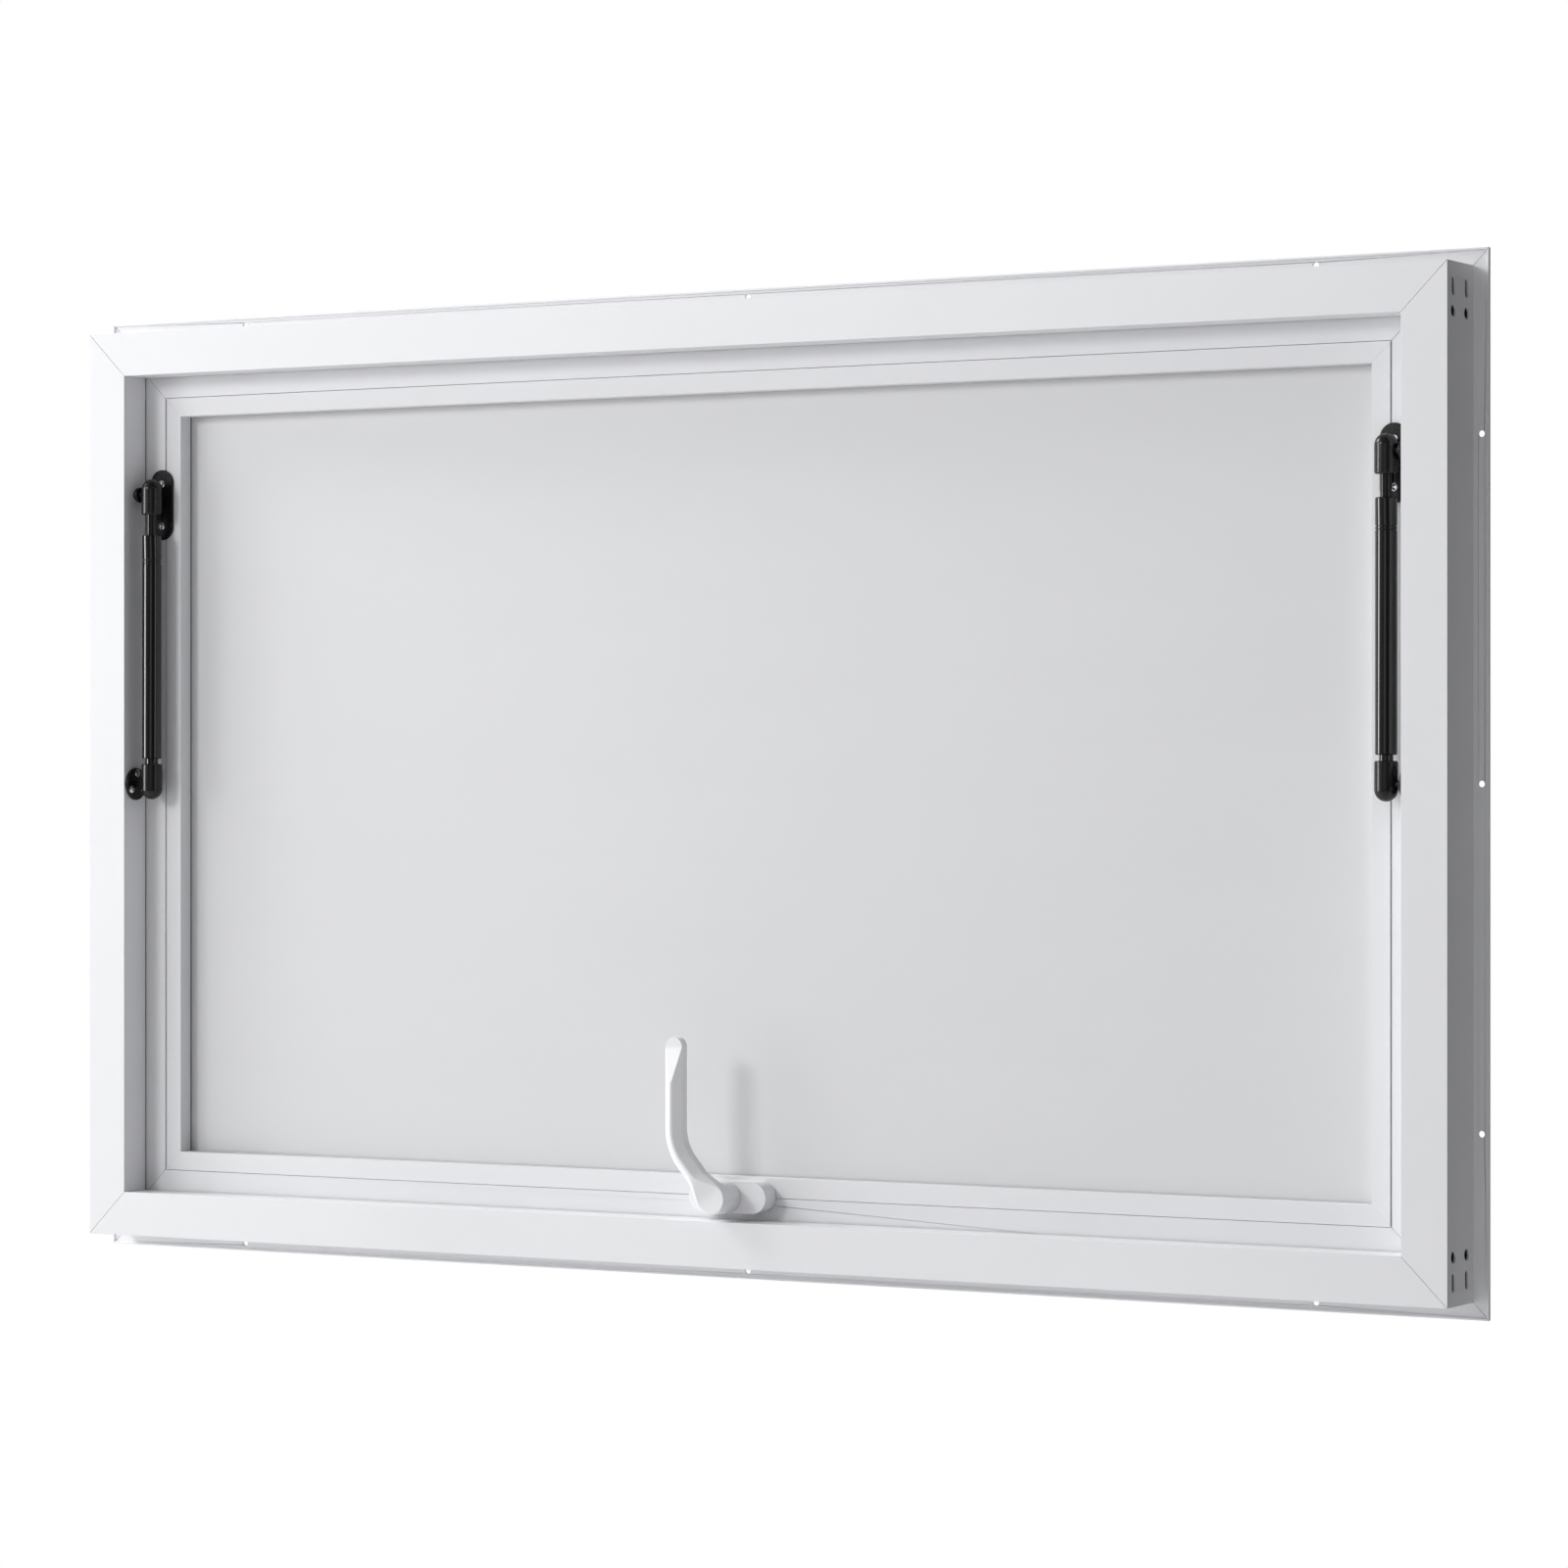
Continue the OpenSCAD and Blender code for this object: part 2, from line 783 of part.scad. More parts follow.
module lower_socket() {
    color(strut_black) placed() at_lower_ball() socket(end_thread_d);
}

module lower_stud() {
    color(strut_black) placed() at_lower_ball()
        ball_stud(strut_offset - lower_disc_t - slip);
}

module lower_bracket() {
    color(strut_black) placed() translate([-open_x, strut_inset, lower_ball_z])
        rotate([0, 90, 0]) difference() {
            union() {
                cylinder(d = lower_disc_d, h = lower_disc_t - disc_edge);
                translate([0, 0, lower_disc_t - disc_edge])
                    cylinder(d1 = lower_disc_d, d2 = lower_disc_d - 2 * disc_edge, h = disc_edge);
            }
            for (a = [60, 180, 300])
                rotate([0, 0, a]) translate([lower_screw_r, 0, -cut])
                    cylinder(r = bracket_screw_d / 2 + run, h = lower_disc_t + 2 * cut);
        }
}

module lower_screws() {
    placed() translate([-open_x + lower_disc_t, strut_inset, lower_ball_z])
        rotate([0, 90, 0])
            for (a = [60, 180, 300])
                rotate([0, 0, a]) translate([lower_screw_r, 0, 0])
                    rotate([-90, 0, 0]) screw(bracket_screw_d, bracket_screw_head, bracket_screw_len);
}

module lower_bracket_screws() {
    color(bright_steel) both_sides() lower_screws();
}

// A stadium plate on the sash with a tab that carries the upper ball stud
module upper_bracket() {
    flat = bracket_h - bracket_w;
    front = sash_face - bracket_t;
    color(strut_black) placed() difference() {
        union() {
            for (s = [-1, 1])
                translate([-bracket_x, 0, bracket_z + s * flat / 2])
                    along_y(bracket_w / 2, front, sash_face);
            translate([-bracket_x - bracket_w / 2, front, bracket_z - flat / 2])
                cube([bracket_w, bracket_t, flat]);
            translate([-tab_outer_x, strut_inset, upper_ball_z - tab_half])
                cube([tab_t, sash_face - strut_inset, 2 * tab_half]);
            translate([-tab_outer_x, strut_inset, upper_ball_z]) rotate([0, 90, 0])
                cylinder(r = tab_half, h = tab_t);
        }
        for (s = [-1, 1])
            translate([-bracket_x, 0, bracket_z + s * bracket_screw_z])
                along_y(bracket_screw_d / 2 + run, front - cut, sash_face + cut);
        translate([-tab_outer_x - cut, strut_inset, upper_ball_z]) rotate([0, 90, 0])
            cylinder(r = stud_r, h = tab_t + 2 * cut);
    }
}

module upper_screws() {
    placed() for (s = [-1, 1])
        translate([-bracket_x, sash_face - bracket_t, bracket_z + s * bracket_screw_z])
            screw(bracket_screw_d, bracket_screw_head, bracket_screw_len);
}

module upper_bracket_screws() {
    color(bright_steel) both_sides() upper_screws();
}

module upper_stud() {
    placed() at_upper_ball() {
        ball_stud(tab_outer_x - strut_x);
        translate([strut_x - tab_outer_x - rivet_t, 0, 0]) rotate([0, 90, 0])
            cylinder(r1 = rivet_r - rivet_edge, r2 = rivet_r, h = rivet_t);
    }
}

module upper_ball_studs() {
    color(strut_black) both_sides() upper_stud();
}

// ---------------------------------------------------------------- handle

module at_handle() {
    translate([handle_x, 0, handle_z]) children();
}

module stadium(len, h, a, b) {
    flat = len - h;
    for (s = [-1, 1])
        translate([s * flat / 2, 0, 0]) along_y(h / 2, a, b);
    translate([-flat / 2, a, -h / 2]) cube([flat, b - a, h]);
}

// The slot that the fork prongs travel in, through a sheet that starts at a depth
module prong_slot(depth, sheet, play) {
    translate([
        handle_x - prong_x - prong_w - lock_stroke - play, depth - cut, prong_z - prong_h / 2 - play
    ])
        cube([2 * (prong_x + prong_w + play) + lock_stroke, sheet + 2 * cut, prong_h + 2 * play]);
}

module handle_base() {
    color(white_coat) placed() at_handle() difference() {
        stadium(base_len, base_h, base_front, sash_face);
        stadium(base_len - 2 * base_side, base_h - 2 * base_side, base_front + base_wall, sash_face + cut);
        along_y(hub_bore_d / 2 + run, base_front - cut, base_front + base_wall + cut);
    }
}

module handle_backplate() {
    fit = base_side + slip;
    color(plain_aluminium) placed() difference() {
        at_handle() stadium(base_len - 2 * fit, base_h - 2 * fit, sash_face - backplate_t, sash_face);
        prong_slot(sash_face - backplate_t, backplate_t, prong_play);
        for (s = [-1, 1])
            translate([handle_x + s * backplate_screw_x, 0, handle_screw_z])
                along_y(bracket_screw_d / 2 + run, sash_face - backplate_t - cut, sash_face + cut);
    }
}

module handle_screws() {
    color(bright_steel) placed() for (s = [-1, 1])
        translate([handle_x + s * backplate_screw_x, sash_face - backplate_t, handle_screw_z])
            screw(bracket_screw_d, bracket_screw_head - 1, handle_screw_len);
}

// One station of the lever: a flat disc with a chamfered ridge in front of it
module lever_station(r, top_r, ridge) {
    along_y(r, hub_front, hub_front + lever_t);
    translate([0, hub_front, 0]) rotate([90, 0, 0]) cylinder(r1 = r, r2 = top_r, h = ridge);
}

module lever_span(from, to) {
    hull() {
        translate([from[0], 0, from[1]]) lever_station(from[2], from[3], from[4]);
        translate([to[0], 0, to[1]]) lever_station(to[2], to[3], to[4]);
    }
}

module handle_lever() {
    half = lever_w / 2;
    ease = 10;
    low = bend_rise - ease;
    root = [0, 0, hub_d / 2, hub_d / 2 - 1.5, 0.8];
    knee_low = [-lever_offset * low / bend_rise, low, half + 0.5, ridge_r, ridge_h];
    knee_high = [-lever_offset, bend_rise + ease, half, ridge_r, ridge_h];
    tip = [-lever_offset, lever_rise - half, half, ridge_r, ridge_h];
    spoon_low = lever_rise - spoon_above - spoon_len;
    slope = atan(ridge_h / spoon_len);
    color(white_coat) placed() at_handle() difference() {
        union() {
            lever_span(root, knee_low, $fn = 32);
            lever_span(knee_low, knee_high, $fn = 32);
            lever_span(knee_high, tip, $fn = 32);
            along_y(hub_d / 2, hub_front, base_front - slip);
        }
        translate([-lever_offset - lever_w, hub_front - ridge_h, spoon_low]) rotate([-slope, 0, 0])
            translate([0, -lever_w, 0]) cube([2 * lever_w, lever_w, spoon_len * 1.05]);
        translate([-lever_offset - lever_w, hub_front - lever_w, spoon_low + spoon_len])
            cube([2 * lever_w, lever_w, spoon_len]);
        translate([-square / 2, base_front - hub_t / 2, -square / 2])
            cube([square, hub_t, square]);
    }
}

// Square shaft, journal, disc and offset pin in one turning
module handle_crank() {
    square_start = base_front - hub_t / 2 + slip;
    color(bright_steel) placed() at_handle() {
        translate([-square / 2 + run, square_start, -square / 2 + run])
            cube([square - 2 * run, base_front - square_start, square - 2 * run]);
        along_y(hub_bore_d / 2, base_front - slip, crank_start + cut);
        along_y(crank_disc_d / 2, crank_start, crank_back);
        translate([crank_pin_x, 0, -crank_pin_z])
            along_y(crank_pin_d / 2, crank_back - cut, crank_back + crank_pin_len);
    }
}

// ---------------------------------------------------------------- lock drive

module fork_slide() {
    slot_w = crank_pin_d + 2 * crank_play;
    slot_low = crank_r + crank_pin_d / 2 + crank_play;
    slide_low = slide_clear - (base_h / 2 - base_side);
    color(bright_steel) placed() translate([handle_x, 0, 0]) difference() {
        union() {
            translate([-slide_x, slide_start, handle_z + slide_low])
                cube([2 * slide_x, slide_t, slide_h]);
            for (s = [0, 1])
                mirror([s, 0, 0]) translate([prong_x, slide_start, prong_z - prong_h / 2])
                    cube([prong_w, prong_end - slide_start, prong_h]);
        }
        translate([crank_pin_x - slot_w / 2, slide_start - cut, handle_z - slot_low])
            cube([slot_w, slide_t + 2 * cut, slot_low]);
    }
}

module drive_bar() {
    link_h = -groove_z - sash_wall - link_top - bar_z;
    bar_len = 2 * (lock_pin_x + bar_end);
    color(bright_steel) placed() {
        difference() {
            translate([-bar_len / 2, bar_d, bar_z]) cube([bar_len, bar_w, bar_t]);
            for (x = [-lock_pin_x, lock_pin_x])
                translate([x, pin_depth, bar_z - cut])
                    cylinder(d = pin_d - 2 * pin_neck, h = bar_t + 2 * cut);
        }
        translate([handle_x - link_x, bar_d, bar_z]) cube([2 * link_x, link_t, link_h]);
    }
}

module lock_pins() {
    color(bright_steel) placed()
        for (x = [-lock_pin_x, lock_pin_x])
            translate([x, pin_depth, 0]) {
                translate([0, 0, pin_tip]) cylinder(d = pin_d, h = bar_z - pin_tip);
                translate([0, 0, bar_z - cut / 2]) cylinder(d = pin_d - 2 * pin_neck, h = bar_t + cut / 2);
            }
}

// A plate with a lip that holds the pin once it has moved towards -X
module keeper() {
    lip_d = pin_depth + pin_d / 2 + keeper_play;
    lip_start = -lock_stroke - pin_d / 2 - keeper_end;
    lip_end = -pin_d / 2 - keeper_play;
    plate_d = pin_depth - keeper_in;
    lip_top = -sash_z - keeper_clear;
    difference() {
        union() {
            translate([-keeper_reach, plate_d, -rebate_z])
                cube([keeper_reach + keeper_behind, lip_d + keeper_lip_t - plate_d, keeper_t]);
            translate([lip_start, lip_d, -rebate_z])
                cube([lip_end - lip_start, keeper_lip_t, lip_top + rebate_z]);
        }
        for (x = keeper_screw_x)
            translate([x, pin_depth, -rebate_z - cut])
                cylinder(d = keeper_screw_d + 2 * run, h = keeper_t + 2 * cut);
    }
}

module lock_keepers() {
    color(bright_steel) placed()
        for (x = [-lock_pin_x, lock_pin_x])
            translate([x, 0, 0]) keeper();
}

module keeper_screws() {
    color(bright_steel) placed()
        for (x = [-lock_pin_x, lock_pin_x])
            for (at = keeper_screw_x)
                translate([x + at, pin_depth, -rebate_z + keeper_t]) rotate([-90, 0, 0])
                    screw(keeper_screw_d, keeper_screw_head, keeper_screw_len);
}

// ---------------------------------------------------------------- assembly

frame_head();
frame_sill();
frame_jamb_left();
frame_jamb_right();
front_corner_keys();
rear_corner_keys();
frame_gasket();
hinge_frame_leaf();
hinge_pin();
hinge_frame_screws();
lower_bracket();  // left_lower_bracket
mirror([1, 0, 0]) lower_bracket();  // right_lower_bracket
lower_bracket_screws();
lock_keepers();
keeper_screws();
sash_top_rail();
sash_bottom_rail();
sash_left_stile();
sash_right_stile();
sash_corner_keys();
bead_top();
bead_bottom();
bead_left();
bead_right();
panel_inner_skin();
panel_core();
panel_outer_skin();
panel_gasket();
panel_tape();
hinge_sash_leaf();
hinge_sash_screws();
upper_bracket();  // left_upper_bracket
mirror([1, 0, 0]) upper_bracket();  // right_upper_bracket
upper_bracket_screws();
upper_ball_studs();
handle_base();
handle_backplate();
handle_screws();
handle_lever();
handle_crank();
fork_slide();
drive_bar();
lock_pins();
strut_rod();  // left_strut_rod
strut_piston();  // left_strut_piston
upper_socket();  // left_upper_socket
strut_tube();  // left_strut_tube
strut_gland();  // left_strut_gland
lower_socket();  // left_lower_socket
lower_stud();  // left_lower_stud
mirror([1, 0, 0]) strut_rod();  // right_strut_rod
mirror([1, 0, 0]) strut_piston();  // right_strut_piston
mirror([1, 0, 0]) upper_socket();  // right_upper_socket
mirror([1, 0, 0]) strut_tube();  // right_strut_tube
mirror([1, 0, 0]) strut_gland();  // right_strut_gland
mirror([1, 0, 0]) lower_socket();  // right_lower_socket
mirror([1, 0, 0]) lower_stud();  // right_lower_stud
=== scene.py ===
import json
import math

import bmesh
import bpy
from mathutils import Matrix, Vector


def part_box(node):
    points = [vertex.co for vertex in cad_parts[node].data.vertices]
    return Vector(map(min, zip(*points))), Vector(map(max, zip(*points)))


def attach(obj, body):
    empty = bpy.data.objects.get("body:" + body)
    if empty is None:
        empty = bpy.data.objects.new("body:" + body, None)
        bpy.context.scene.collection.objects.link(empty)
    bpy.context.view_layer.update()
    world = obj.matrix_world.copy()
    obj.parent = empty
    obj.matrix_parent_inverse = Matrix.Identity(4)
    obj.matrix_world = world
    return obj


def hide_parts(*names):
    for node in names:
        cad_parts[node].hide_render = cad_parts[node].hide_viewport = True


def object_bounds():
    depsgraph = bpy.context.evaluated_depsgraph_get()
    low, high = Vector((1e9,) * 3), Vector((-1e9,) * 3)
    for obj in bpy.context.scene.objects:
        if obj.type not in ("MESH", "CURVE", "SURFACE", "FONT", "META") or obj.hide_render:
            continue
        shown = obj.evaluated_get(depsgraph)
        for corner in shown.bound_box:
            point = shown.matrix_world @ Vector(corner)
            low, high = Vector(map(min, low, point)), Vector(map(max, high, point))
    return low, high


# A serving-window hatch: a flanged aluminium frame, a solid panelled sash hinged along its top,
# two gas struts, and a cranked lever handle that draws two lock pins.
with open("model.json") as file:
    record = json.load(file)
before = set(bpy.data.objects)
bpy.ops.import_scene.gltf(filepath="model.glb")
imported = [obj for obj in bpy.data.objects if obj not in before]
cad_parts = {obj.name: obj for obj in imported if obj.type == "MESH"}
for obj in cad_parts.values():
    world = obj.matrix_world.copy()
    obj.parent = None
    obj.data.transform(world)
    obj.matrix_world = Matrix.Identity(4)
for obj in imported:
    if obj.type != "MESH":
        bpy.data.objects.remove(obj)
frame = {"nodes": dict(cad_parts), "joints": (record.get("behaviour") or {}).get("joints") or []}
cad_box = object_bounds()
nodes = frame["nodes"]
MM = 0.001

# ------------------------------------------------------------------ frame extrusions
# Four hollow aluminium bars, cut at 45 degrees and powder-coated satin white before they are
# joined, so that each mitre shows as a hairline. Saw-cut edges are eased by the coating.


class Signal:
    """A value on its way through a node tree, so that masks are written as ordinary sums."""

    def __init__(self, web, socket):
        self.web = web
        self.socket = socket

    def _math(self, operation, first, second):
        return self.web.node("Math", {"operation": operation}, {0: first, 1: second})

    def __add__(self, other):
        return self._math("ADD", self, other)

    def __radd__(self, other):
        return self._math("ADD", other, self)

    def __sub__(self, other):
        return self._math("SUBTRACT", self, other)

    def __rsub__(self, other):
        return self._math("SUBTRACT", other, self)

    def __mul__(self, other):
        return self._math("MULTIPLY", self, other)

    def __rmul__(self, other):
        return self._math("MULTIPLY", other, self)


class Web:
    """The nodes of one material, or of the room around the window."""

    def __init__(self, tree):
        self.tree = tree

    def node(self, kind, settings=None, inputs=None, output=0):
        """Any node: its type, its settings, and the values or links of its sockets."""
        made = self.tree.nodes.new("ShaderNode" + kind)
        for name, value in (settings or {}).items():
            setattr(made, name, value)
        self.feed(made, inputs or {})
        return Signal(self, made.outputs[output])

    def feed(self, made, inputs):
        """Links or sets the sockets of a node."""
        for name, value in inputs.items():
            if isinstance(value, Signal):
                self.tree.links.new(value.socket, made.inputs[name])
            else:
                made.inputs[name].default_value = value


class Finish(Web):
    """One surface finish: a material and the shader that its masks feed."""

    def __init__(self, name):
        self.material = bpy.data.materials.new(name)
        self.material.use_nodes = True
        super().__init__(self.material.node_tree)
        self.shader = self.tree.nodes["Principled BSDF"]
        self.place = self.node("TexCoord", output="Object")

    def noise(self, scale, detail=2.0, stretch=(1, 1, 1)):
        """A cloud of the given number of patches to the metre, centred on 0."""
        at = self.node("Mapping", inputs={"Vector": self.place, "Scale": stretch})
        sockets = {"Vector": at, "Scale": scale, "Detail": detail}
        return self.node("TexNoise", inputs=sockets) - 0.5

    def shade(self, dark, light, factor):
        """A colour between two, by a factor from 0 to 1."""
        settings = {"data_type": "RGBA"}
        return self.node("Mix", settings, {0: factor, 6: (*dark, 1), 7: (*light, 1)}, output=2)

    def bump(self, height, distance):
        """The shading of a height map whose full swing is the given distance."""
        return self.node("Bump", inputs={"Height": height, "Distance": distance, "Strength": 1.0})

    def set(self, **values):
        """Feeds the shader's sockets by name."""
        self.feed(self.shader, {key.replace("_", " "): v for key, v in values.items()})

    def shine(self, level):
        """How strongly the surface mirrors, 0.5 being a common lacquer."""
        self.shader.inputs["Specular IOR Level"].default_value = level

    def coat(self, *pieces):
        """Gives the finish to pieces, in place of what they had."""
        for piece in pieces:
            piece.data.materials.clear()
            piece.data.materials.append(self.material)


def ease(piece, radius, segments=2, angle=30):
    """Rounds a piece's sharp edges by modifiers, and shades its flats flat."""
    weld = piece.modifiers.new("weld", "WELD")
    weld.merge_threshold = 0.005 * MM
    bevel = piece.modifiers.new("eased_edges", "BEVEL")
    bevel.width = radius
    bevel.segments = segments
    bevel.limit_method = "ANGLE"
    bevel.angle_limit = math.radians(angle)
    bevel.use_clamp_overlap = True
    flats = piece.modifiers.new("flats", "WEIGHTED_NORMAL")
    flats.weight = 100
    flats.keep_sharp = False


def powder_coat(name, shadow, light, gloss):
    """Satin powder coat: a faint orange peel, fine grain, and slow drift in tone and gloss."""
    finish = Finish(name)
    drift = finish.noise(4, 3)
    peel = finish.noise(620, 2)
    grain = finish.noise(3600, 1)
    finish.set(
        Base_Color=finish.shade(shadow, light, drift * 1.6 + grain * 0.35 + 0.5),
        Roughness=gloss + drift * 0.06 + peel * 0.05,
        Normal=finish.bump(peel + grain * 0.25, 0.012 * MM),
    )
    finish.shine(0.42)
    return finish


FRAME_BARS = ("frame_head", "frame_sill", "frame_jamb_left", "frame_jamb_right")
frame_white = powder_coat("frame_white_coat", (0.775, 0.777, 0.795), (0.812, 0.814, 0.832), 0.40)
for bar in FRAME_BARS:
    frame_white.coat(nodes[bar])
    ease(nodes[bar], 0.25 * MM)

# ------------------------------------------------------------------ corner keys
# Cast aluminium angles pushed into the bar chambers and crimped there. They are left as cast; their
# colour is darkened far below bare aluminium, as painted shade of the dim chambers behind the
# openings punched in the jambs.
KEY_NODES = ("front_corner_keys", "rear_corner_keys", "sash_corner_keys")


def raw_aluminium(name, dark, light, along):
    """Bare aluminium: streaks drawn out along one axis, and a cloudy oxide."""
    finish = Finish(name)
    stretch = [1.0 if axis == along else 40.0 for axis in "xyz"]
    streaks = finish.noise(14, 3, stretch)
    oxide = finish.noise(60, 4)
    finish.set(
        Base_Color=finish.shade(dark, light, streaks + oxide * 0.8 + 0.5),
        Roughness=0.38 + oxide * 0.22 + streaks * 0.16,
        Normal=finish.bump(streaks + oxide * 0.4, 0.01 * MM),
        Metallic=1.0,
    )
    return finish


# The dark colour range is painted shade of the chambers, not the tone of the metal.
painted_shade_keys = raw_aluminium("cast_aluminium_painted_shade", (0.10, 0.10, 0.105), (0.20, 0.20, 0.21), "z")
for key in KEY_NODES:
    painted_shade_keys.coat(nodes[key])
    ease(nodes[key], 0.5 * MM)

# ------------------------------------------------------------------ seal in the frame stop
# One length of black rubber runs round the stop and meets itself in mitred corners. It has a flat
# foot and two raised ribs that the closing sash presses flat.
SEAL_WIDTH = 10 * MM
FOOT_SHARE = 0.55
RIB_FULLNESS = 0.7
RIB_STEPS = 20
seal_low, seal_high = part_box("frame_gasket")


def as_piece(name, mesh):
    """Turns a finished bmesh into an object of the scene."""
    data = bpy.data.meshes.new(name)
    mesh.to_mesh(data)
    mesh.free()
    piece = bpy.data.objects.new(name, data)
    bpy.context.scene.collection.objects.link(piece)
    return piece


def sweep_ring(name, profile, low, high):
    """A closed profile of (distance inwards, depth) points, carried round a rectangle."""
    mesh = bmesh.new()
    rings = []
    for corner_x, corner_z in ((0, 0), (1, 0), (1, 1), (0, 1)):
        ring = []
        for inwards, depth in profile:
            x = high.x - inwards if corner_x else low.x + inwards
            z = high.z - inwards if corner_z else low.z + inwards
            ring.append(mesh.verts.new((x, depth, z)))
        rings.append(ring)
    for here, there in zip(rings, rings[1:] + rings[:1]):
        for k in range(len(profile)):
            after = (k + 1) % len(profile)
            mesh.faces.new((here[k], here[after], there[after], there[k]))
    bmesh.ops.recalc_face_normals(mesh, faces=mesh.faces)
    return as_piece(name, mesh)


def rubber(name, dark, light):
    """Extruded rubber: matt, with a bloom and fine drag lines."""
    finish = Finish(name)
    bloom = finish.noise(25, 4)
    drag = finish.noise(900, 2)
    finish.set(
        Base_Color=finish.shade(dark, light, bloom * 1.2 + drag * 0.4 + 0.5),
        Roughness=0.62 + bloom * 0.18,
        Normal=finish.bump(drag + bloom * 0.3, 0.02 * MM),
    )
    finish.shine(0.35)
    return finish


def ribbed_profile(width, back, front):
    """A flat foot with two round ribs that reach the front depth."""
    points = [(0.0, back)]
    for step in range(RIB_STEPS + 1):
        share = step / RIB_STEPS
        rib = abs(math.sin(2 * math.pi * share)) ** RIB_FULLNESS
        rise = FOOT_SHARE + (1 - FOOT_SHARE) * rib
        points.append((share * width, back + (front - back) * rise))
    points.append((width, back))
    return points


seal_black = rubber("black_rubber", (0.012, 0.012, 0.013), (0.03, 0.03, 0.031))
seal_profile = ribbed_profile(SEAL_WIDTH, seal_low.y, seal_high.y)
frame_seal = sweep_ring("stop_seal", seal_profile, seal_low, seal_high)
seal_black.coat(frame_seal)
ease(frame_seal, 0.05 * MM, 1, 50)
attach(frame_seal, "frame")
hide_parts("frame_gasket")
for strip in ("panel_gasket", "panel_tape"):
    seal_black.coat(nodes[strip])
    ease(nodes[strip], 0.2 * MM)

# ------------------------------------------------------------------ sash and beads
# Four mitred aluminium bars, and four hollow beads that snap in along their inner edges and hold
# the panel. Same white coat as the frame, from another batch, a shade deeper.
SASH_BARS = ("sash_top_rail", "sash_bottom_rail", "sash_left_stile", "sash_right_stile")
BEADS = ("bead_top", "bead_bottom", "bead_left", "bead_right")
sash_white = powder_coat("sash_white_coat", (0.765, 0.767, 0.785), (0.802, 0.804, 0.822), 0.42)
for bar in SASH_BARS:
    sash_white.coat(nodes[bar])
    ease(nodes[bar], 0.3 * MM)
for bead in BEADS:
    sash_white.coat(nodes[bead])
    ease(nodes[bead], 0.12 * MM)

# ------------------------------------------------------------------ panel
# A composite sheet: two coil-coated aluminium skins on a black core. The coat is semi-matt and
# very even, with only the faint lengthwise drift of the coating roller.
PANEL_SKINS = ("panel_inner_skin", "panel_outer_skin")
coil_white = Finish("coil_coated_white")
roller = coil_white.noise(3, 2, (1, 1, 6))
stipple = coil_white.noise(1500, 2)
coil_white.set(
    Base_Color=coil_white.shade(
        (0.688, 0.690, 0.701), (0.708, 0.710, 0.721), roller + stipple * 0.3 + 0.5
    ),
    Roughness=0.46 + roller * 0.05,
    Normal=coil_white.bump(stipple, 0.006 * MM),
)
coil_white.shine(0.4)
for skin in PANEL_SKINS:
    coil_white.coat(nodes[skin])
core_black = rubber("black_core", (0.03, 0.03, 0.03), (0.055, 0.055, 0.056))
core_black.coat(nodes["panel_core"])

# ------------------------------------------------------------------ continuous hinge
# Two folded aluminium leaves with interleaved knuckles, coated white, on one bright steel pin.
# It runs along the outdoor side, above the sash, so that the sash swings outwards and up.
HINGE_LEAVES = ("hinge_frame_leaf", "hinge_sash_leaf")
for leaf in HINGE_LEAVES:
    frame_white.coat(nodes[leaf])
    ease(nodes[leaf], 0.2 * MM)

# ------------------------------------------------------------------ screws and pin
# Pan-head cross-recess screws in bright zinc-plated steel. Turning leaves fine rings, and the
# plating clouds a little.
SCREWS = (
    "hinge_frame_screws", "hinge_sash_screws", "lower_bracket_screws", "upper_bracket_screws",
    "keeper_screws", "handle_screws", "hinge_pin", "handle_crank", "lock_pins",
)


def plated_steel(name, dark, light, gloss, cloud_size):
    """Zinc plate: a clouded brightness with fine scratches."""
    finish = Finish(name)
    cloud = finish.noise(cloud_size, 3)
    scratch = finish.noise(300, 2, (1, 9, 1))
    finish.set(
        Base_Color=finish.shade(dark, light, cloud * 1.3 + 0.5),
        Roughness=gloss + cloud * 0.12 + scratch * 0.08,
        Normal=finish.bump(scratch, 0.003 * MM),
        Metallic=1.0,
    )
    return finish


bright_zinc = plated_steel("bright_zinc", (0.70, 0.70, 0.72), (0.86, 0.86, 0.88), 0.2, 400)
for screw in SCREWS:
    bright_zinc.coat(nodes[screw])
    ease(nodes[screw], 0.1 * MM)

# ------------------------------------------------------------------ strut brackets and studs
# Pressed steel plates in black powder coat: a round one on the jamb and a long one with a folded
# tab on the sash. The ball studs are black-oxide steel riveted to them.
BRACKETS = (
    "left_lower_bracket", "right_lower_bracket", "left_upper_bracket", "right_upper_bracket",
)
STUDS = ("upper_ball_studs", "left_lower_stud", "right_lower_stud")


def black_enamel(name, dark, light, gloss, peel_size, depth):
    """Black coating: nearly even in colour, told by its gloss and its slight ripple."""
    finish = Finish(name)
    drift = finish.noise(30, 3)
    peel = finish.noise(peel_size, 2)
    finish.set(
        Base_Color=finish.shade(dark, light, drift + 0.5),
        Roughness=gloss + drift * gloss * 0.5 + peel * gloss * 0.3,
        Normal=finish.bump(peel, depth),
    )
    finish.shine(0.32)
    return finish


bracket_black = black_enamel("bracket_black_coat", (0.008,) * 3, (0.014,) * 3, 0.27, 900, 0.01 * MM)
stud_black = black_enamel("black_oxide", (0.01,) * 3, (0.02,) * 3, 0.3, 500, 0.006 * MM)
for plate in BRACKETS:
    bracket_black.coat(nodes[plate])
    ease(nodes[plate], 0.6 * MM, 3)
for stud in STUDS:
    stud_black.coat(nodes[stud])
    ease(nodes[stud], 0.3 * MM, 3)

